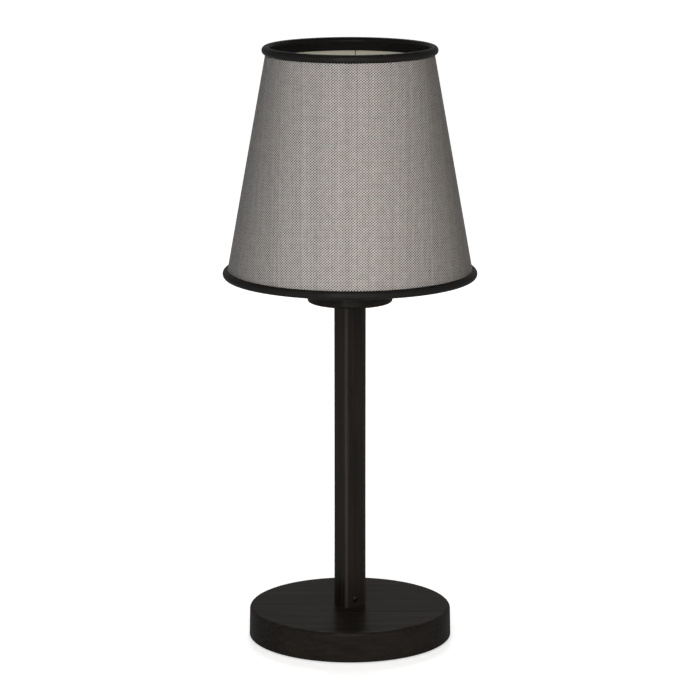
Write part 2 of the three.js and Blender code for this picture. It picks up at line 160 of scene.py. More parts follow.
# Lampholder
CAP_WALL = 1.8
CAP_FLOOR = 2.2
CAP_FOOT_ROUND = 1.5
CAP_LEDGE_HEIGHT = 12.2
CAP_LEDGE_WIDTH = 2
HUB_WALL = 2.7
HUB_HEIGHT = 10
BOSS_RADIUS = 9
BOSS_HEIGHT = 3.2
SHELL_COLLAR_RADIUS = 16.9
SHELL_COLLAR_WALL = 1.5
SHELL_FLANGE_THICKNESS = 2.4
SKIRT_RADIUS = 20
SKIRT_WALL = 1.6
SKIRT_THREAD_PITCH = 2.5
SKIRT_THREAD_DEPTH = 0.8
SKIRT_THREAD_ROUND = 0.3
SLEEVE_BORE = 13.9
SLEEVE_RADIUS = 15.3
SLEEVE_DEPTH = 22
LAMP_THREAD_PITCH = 3.63
LAMP_THREAD_DEPTH = 0.85
SLEEVE_THREAD_ROUND = 0.7
CAP_THREAD_ROUND = 0.8
RIM_THICKNESS = 1.8
RIM_CHAMFER = 0.8
COLLAR_BORE = 20.6
COLLAR_WALL_RADIUS = 23.4
COLLAR_RIB_RADIUS = 24.4
COLLAR_RIBS = 24
COLLAR_RIB_FACETS = 6
COLLAR_FLANGE_THICKNESS = 2
COLLAR_BROW_ROUND = 0.5

# Bulb
BULB_TIP_ROUND = 1.0
BULB_THREAD_FOOT = 1.6
BULB_THREAD_HEAD = 2.4
BULB_FOOT_TAPER = 1.5
BULB_CAP_LIP = 0.5
BULB_NECK_STEP = 0.8
FLARE_STEPS = 12
DOME_WALL = 1.4
DOME_STEPS = 24

# Shade. Each edge has its wire's radius and height, and 1 for the upper or -1 for the lower one.
# OUTER and INNER values are measured out from the wire, square to the panel, and PANEL_END and LEG_END
# from the wire along the panel.
WIRE_RADIUS = 1.2
SHADE_EDGES = {}
for edge_name, sense in (("upper", 1), ("lower", -1)):
    wire_low, wire_high = span(f"{edge_name}_wire")
    SHADE_EDGES[edge_name] = (wire_high.x - WIRE_RADIUS, (wire_low.z + wire_high.z) / 2, sense)
UPPER_RADIUS, UPPER_HEIGHT, _ = SHADE_EDGES["upper"]
LOWER_RADIUS, LOWER_HEIGHT, _ = SHADE_EDGES["lower"]
DOWN_SLOPE = Vector((LOWER_RADIUS - UPPER_RADIUS, LOWER_HEIGHT - UPPER_HEIGHT)).normalized()
OUTWARD = Vector((-DOWN_SLOPE.y, DOWN_SLOPE.x))
PANEL_END = 1.5
COVER_OUTER = -0.1
COVER_THICKNESS = 0.4
LINING_OUTER = -0.75
LINING_THICKNESS = 0.35
BEAD_RADIUS = 2.75
BEAD_BORE = 1.5
BEAD_STEPS = 26
BORE_STEPS = 10
EDGE_STEPS = 192
SLIT_OUTER = 0.15
SLIT_INNER = -1.35
LEG_INNER = -1.95
LEG_END = 6.0
LEG_ROUND = 0.25
COVER_LAP = 9
LINING_LAP = 8
LAP_RISE = 0.22
LAP_EASE = 0.2
SHEET_COLUMNS = 240
COVER_ROWS = 6
LINING_ROWS = 2
LINING_SEAM_TURN = math.radians(-6.8)
SEAM_LINE = 0.9
PLATE_THICKNESS = 1.5
PLATE_RADIUS = 27
ARM_COUNT = 3
ARM_ANGLES = [90 + number * 360 / ARM_COUNT for number in range(ARM_COUNT)]
ARM_START = 24
ARM_BEND = 5
ARM_BEND_STEPS = 6
ARM_RUN_ON = 1.5
ARM_FLAT_END = 5
ARM_HOLE_STEPS = 24

# Weave, measured on the flat cloth, and the strength of its second diagonal against its first
WARP_PITCH = 0.98
WEFT_PITCH = 0.86
SECOND_DIAGONAL = 0.87


def outline(*corners, closed=True):
    """Edges in the XZ plane through a few (radius, height) corners, and a third number rounds one."""
    shape = bmesh.new()
    points = [shape.verts.new((corner[0], 0, corner[1])) for corner in corners]
    following = points[1:] + points[:1] if closed else points[1:]
    for start, end in zip(points, following):
        shape.edges.new((start, end))
    for corner, point in zip(corners, points):
        if len(corner) == 3:
            bmesh.ops.bevel(
                shape, geom=[point], offset=corner[2], offset_type="OFFSET", segments=5,
                profile=0.5, affect="VERTICES", material=-1,
            )
    return shape


def sealed(shape):
    """Merges doubled corners and turns every face outwards."""
    bmesh.ops.remove_doubles(shape, verts=shape.verts[:], dist=WELD)
    bmesh.ops.dissolve_degenerate(shape, edges=shape.edges[:], dist=WELD)
    bmesh.ops.recalc_face_normals(shape, faces=shape.faces[:])
    return shape


def turned(*corners, closed=True, steps=TURN_STEPS):
    """An outline turned about the lamp's axis."""
    shape = outline(*corners, closed=closed)
    bmesh.ops.spin(
        shape, geom=shape.verts[:] + shape.edges[:], cent=(0, 0, 0), axis=(0, 0, 1),
        dvec=(0, 0, 0), angle=math.tau, steps=steps, use_merge=True,
    )
    return sealed(shape)


def wound(root, crest, bottom, top, pitch, softness=0.0):
    """The wall of a screw thread, cut level at both ends and open there."""
    turns = math.ceil((top - bottom) / pitch) + 2
    rounding = (softness,) if softness else ()
    corners = [(root, bottom - 1.5 * pitch)]
    for number in range(turns + 1):
        height = bottom + (number - 1) * pitch
        corners.append((crest, height, *rounding))
        corners.append((root, height + pitch / 2, *rounding))
    corners[-1] = corners[-1][:2]
    shape = outline(*corners, closed=False)
    bmesh.ops.spin(
        shape, geom=shape.verts[:] + shape.edges[:], cent=(0, 0, 0), axis=(0, 0, 1),
        dvec=(0, 0, pitch / THREAD_STEPS), angle=math.tau, steps=THREAD_STEPS, use_merge=False,
    )
    bmesh.ops.remove_doubles(shape, verts=shape.verts[:], dist=WELD)
    for height, side in ((bottom, -1), (top, 1)):
        bmesh.ops.bisect_plane(
            shape, geom=shape.verts[:] + shape.edges[:] + shape.faces[:], dist=WELD,
            plane_co=(0, 0, height), plane_no=(0, 0, side), clear_outer=True,
        )
    return shape


def rim(shape, height, inside=math.inf, outside=0.0):
    """The open edges at a height, between two radii."""
    return [
        edge for edge in shape.edges
        if edge.is_boundary and all(
            abs(vert.co.z - height) < LEVEL_WITHIN and outside < vert.co.xy.length < inside
            for vert in edge.verts
        )
    ]


def carried(shape, edges, *stations):
    """Draws a rim on through (radius, height) stations, and returns the last rim."""
    for radius, height in stations:
        grown = bmesh.ops.extrude_edge_only(shape, edges=edges)["geom"]
        for vert in (item for item in grown if isinstance(item, bmesh.types.BMVert)):
            vert.co.xy = vert.co.xy.normalized() * radius
            vert.co.z = height
        edges = [item for item in grown if isinstance(item, bmesh.types.BMEdge)]
    return edges


def together(*shapes):
    """One shape from several."""
    whole = bmesh.new()
    for shape in shapes:
        passing = bpy.data.meshes.new("passing")
        shape.to_mesh(passing)
        shape.free()
        whole.from_mesh(passing)
        bpy.data.meshes.remove(passing)
    return whole


def placed(shape, *moves):
    """Turns and shifts a shape, each move a matrix, the first one first."""
    for move in moves:
        bmesh.ops.transform(shape, matrix=move, verts=shape.verts[:])
    return shape


def turn(degrees, axis):
    return Matrix.Rotation(math.radians(degrees), 4, axis)


def shift(x, y, z):
    return Matrix.Translation((x, y, z))


def rod(radius, bottom, top, sides=SMALL_STEPS):
    """A plain rod along Z, used to drill a hole."""
    shape = bmesh.new()
    middle = shift(0, 0, (bottom + top) / 2)
    bmesh.ops.create_cone(
        shape, cap_ends=True, segments=sides, radius1=radius, radius2=radius,
        depth=top - bottom, matrix=middle,
    )
    return shape


def object_of(name, shape):
    mesh = bpy.data.meshes.new(name)
    shape.to_mesh(mesh)
    shape.free()
    made = bpy.data.objects.new(name, mesh)
    bpy.context.scene.collection.objects.link(made)
    return made


def drilled(made, holes):
    """Takes each hole's shape out of a piece."""
    for hole in holes:
        tool = object_of("drill", hole)
        cutter = made.modifiers.new("drill", "BOOLEAN")
        cutter.operation = "DIFFERENCE"
        cutter.solver = "EXACT"
        cutter.object = tool
        bpy.context.view_layer.update()
        cut = made.evaluated_get(bpy.context.evaluated_depsgraph_get())
        result = bpy.data.meshes.new_from_object(cut)
        made.modifiers.clear()
        made.data = result
        bpy.data.objects.remove(tool)


def piece(name, shape, finish, body, slot, *nodes, holes=(), even=True):
    """Finishes a shape as a piece of the lamp that stands for the named nodes."""
    made = object_of(name, shape)
    drilled(made, holes)
    made.data.transform(Matrix.Scale(MM, 4))
    made.data.shade_smooth()
    made.data.set_sharp_from_angle(angle=SHARP_ANGLE)
    made.data.materials.clear()
    made.data.materials.append(finish)
    if even:
        made.modifiers.new("even_light", "WEIGHTED_NORMAL").keep_sharp = True
    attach(made, body)
    if nodes:
        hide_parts(*nodes)
    return made


def near_wire(edge, into, out):
    """A point so far into the panel from a wire, and so far out from it, as (radius, height)."""
    radius, height, sense = SHADE_EDGES[edge]
    return (
        radius + sense * DOWN_SLOPE.x * into + OUTWARD.x * out,
        height + sense * DOWN_SLOPE.y * into + OUTWARD.y * out,
    )


def sheet_ends(offset):
    """The upper and lower edges of a sheet at an offset from the wires, as (radius, height)."""
    return Vector(near_wire("upper", PANEL_END, offset)), Vector(near_wire("lower", PANEL_END, offset))


def flat_sector(offset, lap):
    """The angle that a sheet's flat pattern spans, with its lap."""
    top, bottom = sheet_ends(offset)
    return (math.tau + lap * 2 / (top.x + bottom.x)) * DOWN_SLOPE.x


class NodeSet:
    """Short ways of adding nodes to a node tree."""

    def __init__(self, tree):
        self.tree = tree

    def node(self, kind, settings=None, **inputs):
        made = self.tree.nodes.new(kind)
        for setting, value in (settings or {}).items():
            setattr(made, setting, value)
        for socket, value in inputs.items():
            self.feed(made.inputs[socket.replace("_", " ")], value)
        return made

    def feed(self, socket, value):
        if isinstance(value, bpy.types.NodeSocket):
            self.tree.links.new(value, socket)
        elif isinstance(value, tuple) and len(value) == 3 and socket.type == "RGBA":
            socket.default_value = (*value, 1)
        else:
            socket.default_value = value

    def maths(self, operation, first, second=0.0):
        made = self.node("ShaderNodeMath", {"operation": operation})
        self.feed(made.inputs[0], first)
        self.feed(made.inputs[1], second)
        return made.outputs[0]

    def ranged(self, value, low, high, to_low, to_high):
        made = self.node("ShaderNodeMapRange", Value=value, From_Min=low, From_Max=high)
        made.inputs["To Min"].default_value = to_low
        made.inputs["To Max"].default_value = to_high
        return made.outputs["Result"]

    def blended(self, factor, first, second, how="MIX"):
        made = self.node("ShaderNodeMix", {"data_type": "RGBA", "blend_type": how})
        self.feed(made.inputs[0], factor)
        self.feed(made.inputs[6], first)
        self.feed(made.inputs[7], second)
        return made.outputs[2]


class Finish(NodeSet):
    """A material with one shader, and short ways of giving it a pattern."""

    def __init__(self, name, colour, roughness, **sockets):
        self.material = bpy.data.materials.new(name)
        self.material.use_nodes = True
        super().__init__(self.material.node_tree)
        self.shader = self.tree.nodes["Principled BSDF"]
        self.shader.inputs["Base Color"].default_value = (*colour, 1)
        self.shader.inputs["Roughness"].default_value = roughness
        for socket, value in sockets.items():
            self.shader.inputs[socket.replace("_", " ")].default_value = value
        self.place = self.node("ShaderNodeTexCoord").outputs["Object"]

    def stretched(self, scale, source=None):
        """The piece's own place, scaled for a pattern."""
        mapping = self.node("ShaderNodeMapping", Vector=source or self.place)
        mapping.inputs["Scale"].default_value = scale
        return mapping.outputs["Vector"]

    def noise(self, vector, scale=1.0, detail=3.0, roughness=0.5):
        made = self.node(
            "ShaderNodeTexNoise", Vector=vector, Scale=scale, Detail=detail, Roughness=roughness
        )
        return made.outputs["Fac"]

    def coloured(self, value):
        self.feed(self.shader.inputs["Base Color"], value)

    def roughened(self, value):
        self.feed(self.shader.inputs["Roughness"], value)

    def raised(self, height, strength, distance):
        bump = self.node("ShaderNodeBump", Strength=strength, Distance=distance * MM, Height=height)
        self.feed(self.shader.inputs["Normal"], bump.outputs["Normal"])


def dark_wood(name, grain_axis, lacquer, arris_wear_and_highlight=False):
    """Black-brown stained wood under a thin satin lacquer, with its grain along one axis."""
    wood = Finish(
        name, (0.0133, 0.0107, 0.009), 0.5, Specular_IOR_Level=0.0, Coat_Weight=lacquer,
        Coat_Roughness=0.26,
    )

    def along_grain(across, along):
        return wood.stretched([along if axis == grain_axis else across for axis in "XYZ"])

    fibres = wood.noise(along_grain(420, 16), 1.0, 5.0, 0.6)
    bands = wood.noise(along_grain(60, 5), 1.0, 2.0)
    pores = wood.noise(along_grain(2600, 120), 1.0, 3.0, 0.65)
    fibre_share = wood.ranged(fibres, 0.35, 0.7, 0.0, 1.0)
    stain = wood.blended(fibre_share, (0.0112, 0.0097, 0.0087), (0.0214, 0.018, 0.0153))
    band_share = wood.ranged(bands, 0.5, 0.72, 0.0, 0.55)
    stain = wood.blended(band_share, stain, (0.0264, 0.0196, 0.0153))
    # Partly wear and partly painted highlight: the stain turns lighter towards the post's upright
    # edges, in patches
    if arris_wear_and_highlight:
        squared = wood.node("ShaderNodeVectorRotate", {"rotation_type": "Z_AXIS"}, Vector=wood.place)
        squared.inputs["Angle"].default_value = -POST_TURN
        parts = wood.node("ShaderNodeSeparateXYZ", Vector=squared.outputs["Vector"])
        width, depth = (wood.maths("ABSOLUTE", parts.outputs[axis]) for axis in "XY")
        half = POST_WIDTH / 2 * MM
        from_middle = wood.maths("MINIMUM", width, depth)
        nearness = wood.ranged(from_middle, half - ARRIS_WEAR_AND_HIGHLIGHT * MM, half, 0.0, 1.0)
        patches = wood.ranged(fibres, 0.3, 0.7, 0.5, 1.0)
        arris_band_share = wood.maths("MULTIPLY", wood.maths("POWER", nearness, 2.0), patches)
        stain = wood.blended(arris_band_share, stain, (0.07, 0.061, 0.054))
    wood.coloured(stain)
    wood.raised(wood.blended(0.5, fibres, pores), 0.25, 0.08)
    return wood.material


def felt():
    nap = Finish("black_felt", (0.018, 0.018, 0.018), 0.95, Specular_IOR_Level=0.2, Sheen_Weight=0.3)
    fibres = nap.noise(nap.place, 2200, 4.0, 0.7)
    tufts = nap.noise(nap.place, 420, 3.0)
    nap.coloured(nap.blended(fibres, (0.009, 0.009, 0.009), (0.034, 0.033, 0.032)))
    nap.raised(nap.blended(0.5, fibres, tufts), 0.8, 0.25)
    return nap.material


def moulded(name, dark, light, roughness, level=0.4):
    """Moulded plastic or ceramic with a fine spark-eroded texture."""
    made = Finish(name, light, roughness, Specular_IOR_Level=level)
    fine = made.noise(made.place, 1800, 2.0)
    flow = made.noise(made.place, 35, 3.0)
    made.coloured(made.blended(flow, dark, light))
    made.roughened(made.ranged(fine, 0.3, 0.7, roughness - 0.06, roughness + 0.08))
    made.raised(fine, 0.15, 0.04)
    return made.material


def plated(name, dark, light, roughness):
    """Plated or polished metal, with faint turning marks and a dulled bloom."""
    made = Finish(name, light, roughness, Metallic=1.0)
    marks = made.noise(made.stretched((60, 60, 5200)), 1.0, 2.0)
    bloom = made.noise(made.place, 160, 4.0, 0.6)
    made.coloured(made.blended(bloom, dark, light))
    made.roughened(made.ranged(bloom, 0.3, 0.7, roughness - 0.08, roughness + 0.14))
    made.raised(marks, 0.12, 0.03)
    return made.material


def powder_coat():
    coat = Finish("white_powder_coat", (0.7, 0.69, 0.65), 0.5)
    peel = coat.noise(coat.place, 900, 2.0)
    worn = coat.noise(coat.place, 60, 3.0)
    coat.coloured(coat.blended(worn, (0.6, 0.59, 0.55), (0.74, 0.73, 0.7)))
    coat.raised(peel, 0.3, 0.06)
    return coat.material


def bound_tape():
    """Black folded tape with a dense fine rib and a soft gloss."""
    tape = Finish(
        "black_bound_tape", (0.0128, 0.0124, 0.0119), 0.5, Specular_IOR_Level=0.0, Coat_Weight=0.085,
        Coat_Roughness=0.24,
    )
    ribs = tape.noise(tape.stretched((1500, 1500, 1500)), 1.0, 3.0, 0.6)
    pulls = tape.noise(tape.place, 45, 3.0)
    tape.coloured(tape.blended(ribs, (0.0094, 0.009, 0.0087), (0.0187, 0.018, 0.0173)))
    tape.raised(tape.blended(0.35, ribs, pulls), 0.3, 0.1)
    return tape.material


def woven_cloth():
    """Plain weave of pale upright threads and near-black level ones, on the cloth's flat pattern."""
    cloth = Finish("grey_black_weave", (0.3, 0.29, 0.28), 0.6, Specular_IOR_Level=0.03)
    flat = cloth.node("ShaderNodeUVMap", {"uv_map": "flat_cloth"}).outputs["UV"]
    threads = cloth.stretched((1 / (WARP_PITCH * MM), 1 / (WEFT_PITCH * MM), 1), source=flat)
    parts = cloth.node("ShaderNodeSeparateXYZ", Vector=threads)
    across, up = parts.outputs["X"], parts.outputs["Y"]

    def diagonal(join):
        """A wave along one diagonal of the threads, a whole wave for two threads."""
        return cloth.maths("COSINE", cloth.maths("MULTIPLY", cloth.maths(join, across, up), math.pi))

    def crown(place):
        """Height over one thread's width, from 0 at its sides to 1 at its middle."""
        centred = cloth.maths("SUBTRACT", cloth.maths("FRACT", place), 0.5)
        squared = cloth.maths("MULTIPLY", centred, centred)
        return cloth.maths("SUBTRACT", 1.0, cloth.maths("MULTIPLY", squared, 4.0))

    def thread_shade(place, dark, light):
        """One shade for each whole thread."""
        number = cloth.maths("FLOOR", place)
        chance = cloth.node("ShaderNodeTexWhiteNoise", {"noise_dimensions": "1D"}, W=number)
        return cloth.blended(chance.outputs["Value"], dark, light)

    second_diagonal = cloth.maths("MULTIPLY", diagonal("ADD"), SECOND_DIAGONAL)
    float_wave = cloth.maths("ADD", diagonal("SUBTRACT"), second_diagonal)
    pale_on_top = cloth.ranged(float_wave, -0.4, 0.4, 0.0, 1.0)
    pale = thread_shade(across, (0.646, 0.618, 0.595), (0.799, 0.764, 0.736))
    black = thread_shade(up, (0.088, 0.085, 0.082), (0.117, 0.113, 0.1085))
    yarn = cloth.blended(pale_on_top, black, pale)
    slub = cloth.noise(cloth.stretched((900, 60, 1), source=flat), 1.0, 3.0)
    worn = cloth.blended(cloth.ranged(slub, 0.3, 0.7, 0.0, 0.22), yarn, (0.34, 0.323, 0.306))
    dip = cloth.maths("MULTIPLY", crown(across), crown(up))
    # Painted shade: each thread's colour is darker towards its sides, where it dips under its
    # neighbours
    depth = cloth.ranged(dip, 0.0, 0.6, 0.55, 1.0)
    streaks = cloth.noise(cloth.stretched((170, 9, 1), source=flat), 1.0, 3.0)
    mottle = cloth.noise(cloth.stretched((300, 210, 1), source=flat), 1.0, 2.0)
    tone = cloth.ranged(cloth.blended(0.72, streaks, mottle), 0.36, 0.64, 0.92, 1.08)
    shaded = cloth.blended(1.0, worn, cloth.maths("MULTIPLY", depth, tone), "MULTIPLY")
    cloth.coloured(shaded)
    cloth.raised(dip, 0.35, 0.25)
    return cloth.material


def lining_film():
    """Cream film, with the cover's dark cut edge showing as a line along the lap."""
    film = Finish("cream_lining_film", (0.7, 0.685, 0.57), 0.6, Specular_IOR_Level=0.4)
    mottle = film.noise(film.place, 120, 4.0, 0.6)
    cream = film.blended(mottle, (0.645, 0.632, 0.518), (0.757, 0.743, 0.617))
    flat = film.node("ShaderNodeUVMap", {"uv_map": "flat_cloth"}).outputs["UV"]
    half = flat_sector(LINING_OUTER, LINING_LAP) / 2
    lap_end = film.node("ShaderNodeVectorMath", {"operation": "DOT_PRODUCT"})
    film.feed(lap_end.inputs[0], flat)
    lap_end.inputs[1].default_value = (math.cos(half), math.sin(half), 0)
    line = film.ranged(lap_end.outputs["Value"], -SEAM_LINE * MM, -SEAM_LINE * MM / 2, 0.0, 0.9)
    film.coloured(film.blended(line, cream, (0.045, 0.042, 0.038)))
    film.raised(film.noise(film.place, 1400, 2.0), 0.1, 0.05)
    return film.material


def opal():
    glow = Finish("opal_plastic", (0.86, 0.85, 0.81), 0.35, Subsurface_Weight=0.15)
    glow.shader.inputs["Subsurface Radius"].default_value = (0.004, 0.004, 0.003)
    haze = glow.noise(glow.place, 90, 3.0)
    glow.coloured(glow.blended(haze, (0.84, 0.83, 0.79), (0.89, 0.88, 0.85)))
    glow.roughened(glow.ranged(haze, 0.3, 0.7, 0.3, 0.42))
    return glow.material


post_wood = dark_wood("dark_wood_post", "Z", 0.087, arris_wear_and_highlight=True)
board_wood = dark_wood("dark_wood_board", "X", 0.076)
black_felt = felt()
black_plastic = moulded("black_plastic", (0.013, 0.013, 0.013), (0.025, 0.025, 0.025), 0.5, 0.2)
ceramic = moulded("pale_ceramic", (0.72, 0.69, 0.6), (0.8, 0.77, 0.69), 0.42)
white_plastic = moulded("white_plastic", (0.76, 0.76, 0.74), (0.82, 0.82, 0.8), 0.42)
zinc = plated("zinc_plate", (0.5, 0.51, 0.52), (0.64, 0.65, 0.66), 0.34)
black_steel = plated("blackened_steel", (0.022, 0.0218, 0.0215), (0.039, 0.0385, 0.038), 0.34)
brass = plated("brass", (0.56, 0.4, 0.16), (0.7, 0.52, 0.24), 0.3)
white_wire = powder_coat()
tape = bound_tape()
weave = woven_cloth()
film = lining_film()
opal_plastic = opal()


def add_base():
    radius, bottom, top = base_high.x, base_low.z, base_high.z
    ceiling = bottom + RECESS_DEPTH
    board = turned(
        (RECESS_RADIUS, bottom, SOFT), (radius, bottom, BASE_FOOT_ROUND),
        (radius - BASE_TAPER, top, BASE_TOP_ROUND), (BOLT_HOLE, top),
        (BOLT_HOLE, ceiling), (RECESS_RADIUS, ceiling),
    )
    lead_height = (grommet_low.z + grommet_high.z) / 2
    drill = placed(rod(LEAD_BORE, 0, radius + OVERRUN), turn(-90, "X"), shift(0, 0, lead_height))
    piece("base_board", board, board_wood, "stand", "dark_wood", "base_disc", holes=[drill])

    pad_hole = RECESS_RADIUS + FELT_MARGIN
    pad = turned(
        (pad_hole, felt_low.z, CRISP), (felt_high.x, felt_low.z, CRISP),
        (felt_high.x, felt_high.z), (pad_hole, felt_high.z),
    )
    piece("felt_ring", pad, black_felt, "stand", "felt", "felt_pad")

    sleeve = LEAD_BORE - SEAT_GAP
    bore = sleeve - BUSH_WALL
    flange = grommet_high.x
    seat = base_high.x + SEAT_GAP
    bush = turned(
        (bore, grommet_low.y, EASED), (sleeve, grommet_low.y, EASED), (sleeve, seat),
        (flange, seat, BUSH_SEAT_ROUND), (flange, grommet_high.y, BUSH_FLANGE_ROUND),
        (bore, grommet_high.y, BUSH_MOUTH_ROUND), steps=SMALL_STEPS,
    )
    placed(bush, turn(-90, "X"), shift(0, 0, lead_height))
    piece("lead_bush", bush, black_plastic, "stand", "black_plastic", "lead_grommet")


def add_tie():
    """The washer, the nut and the threaded tube under the base."""
    washer = turned(
        (BOLT_HOLE, washer_low.z, FINE), (washer_high.x, washer_low.z, EASED),
        (washer_high.x, washer_high.z, FINE), (BOLT_HOLE, washer_high.z), steps=SMALL_STEPS,
    )
    piece("spread_washer", washer, zinc, "stand", "zinc_steel", "base_washer")

    corner = nut_high.x
    flats = corner * math.cos(math.pi / HEX_SIDES)
    blank = corner + NUT_BLANK
    nut = turned(
        (BOLT_HOLE, nut_low.z, SOFT), (flats, nut_low.z), (blank, nut_low.z + NUT_CHAMFER),
        (blank, nut_high.z - NUT_CHAMFER), (flats, nut_high.z), (BOLT_HOLE, nut_high.z, SOFT),
        steps=SMALL_STEPS,
    )
    for side in range(HEX_SIDES):
        facing = (side + 0.5) * math.tau / HEX_SIDES
        direction = Vector((math.cos(facing), math.sin(facing), 0))
        cut = bmesh.ops.bisect_plane(
            nut, geom=nut.verts[:] + nut.edges[:] + nut.faces[:], dist=WELD,
            plane_co=direction * flats, plane_no=direction, clear_outer=True,
        )["geom_cut"]
        rim_of_cut = [item for item in cut if isinstance(item, bmesh.types.BMEdge)]
        bmesh.ops.edgenet_fill(nut, edges=rim_of_cut)
    piece("hex_nut", sealed(nut), zinc, "stand", "zinc_steel", "base_nut")

    radius, bottom, top = tube_high.x, tube_low.z, tube_high.z
    thread_top = bottom + TUBE_THREAD_LENGTH
    tube = wound(radius - TUBE_THREAD_DEPTH, radius, bottom, thread_top, TUBE_THREAD_PITCH)
    end = carried(
        tube, rim(tube, thread_top), (radius, thread_top + THREAD_RUNOUT), (radius, top),
        (TUBE_BORE, top), (TUBE_BORE, bottom),
    )
    bmesh.ops.bridge_loops(tube, edges=end + rim(tube, bottom, outside=TUBE_BORE + RADIUS_WITHIN))
    piece("threaded_tube", sealed(tube), zinc, "stand", "zinc_steel", "tie_tube", even=False)


def add_post():
    length = post_high.z - post_low.z
    lath = bmesh.new()
    bmesh.ops.create_cube(lath, size=1)
    bmesh.ops.scale(lath, vec=(POST_WIDTH, POST_WIDTH, length), verts=lath.verts[:])
    upright = [edge for edge in lath.edges if abs(edge.verts[0].co.z - edge.verts[1].co.z) > 1]
    bmesh.ops.bevel(
        lath, geom=upright, offset=POST_EDGE_ROUND, offset_type="OFFSET", segments=6, profile=0.5,
        affect="EDGES", material=-1,
    )
    ends = [edge for edge in lath.edges if abs(edge.verts[0].co.z - edge.verts[1].co.z) < 1]
    bmesh.ops.bevel(
        lath, geom=ends, offset=POST_END_ROUND, offset_type="OFFSET", segments=2, profile=0.5,
        affect="EDGES", material=-1,
    )
    placed(lath, shift(0, 0, length / 2))
    half = POST_WIDTH / 2
    to_face = (turn(90, "X"), shift(0, 0, SCREW_HEIGHT))
    in_place = (Matrix.Rotation(POST_TURN, 4, "Z"), shift(0, 0, post_low.z))
    bore = rod(BOLT_HOLE, -OVERRUN, length + OVERRUN)
    head_hole = placed(rod(SCREW_HEAD + SEAT_GAP, half - SCREW_HEAD_DEPTH, half + OVERRUN), *to_face)
    shank_hole = placed(rod(SCREW_SHANK + SEAT_GAP, 0, half), *to_face)
    for part in (lath, bore, head_hole, shank_hole):
        placed(part, *in_place)
    holes = [bore, head_hole, shank_hole]
    piece("post_lath", lath, post_wood, "stand", "dark_wood", "post", holes=holes)

    under_head = half - SCREW_HEAD_DEPTH + SEAT_GAP
    screw = turned(
        (0, SCREW_TIP), (SCREW_SHANK, SCREW_TIP, CRISP), (SCREW_SHANK, under_head),
        (SCREW_HEAD, under_head), (SCREW_HEAD, half, SCREW_HEAD_ROUND), (0, half),
        closed=False, steps=SMALL_STEPS,
    )
    socket = rod(SCREW_SOCKET, half - SCREW_SOCKET_DEPTH, half + OVERRUN, HEX_SIDES)
    for part in (screw, socket):
        placed(part, *to_face, *in_place)
    piece("locking_screw", screw, black_steel, "stand", "zinc_steel", "post_lock_screw", holes=[socket])


def add_disc():
    radius, bottom, top = disc_high.x, disc_low.z, disc_high.z
    disc = turned(
        (BOLT_HOLE, bottom), (radius, bottom, DISC_EDGE_ROUND), (radius, top, DISC_EDGE_ROUND),
        (BOLT_HOLE, top),
    )
    piece("shade_rest_disc", disc, board_wood, "stand", "dark_wood", "top_disc")
    washer = turned(
        (BOLT_HOLE, lock_low.z), (lock_high.x, lock_low.z, CRISP), (lock_high.x, lock_high.z, CRISP),
        (BOLT_HOLE, lock_high.z), steps=SMALL_STEPS,
    )
    piece("spring_washer", washer, zinc, "stand", "zinc_steel", "lock_washer")


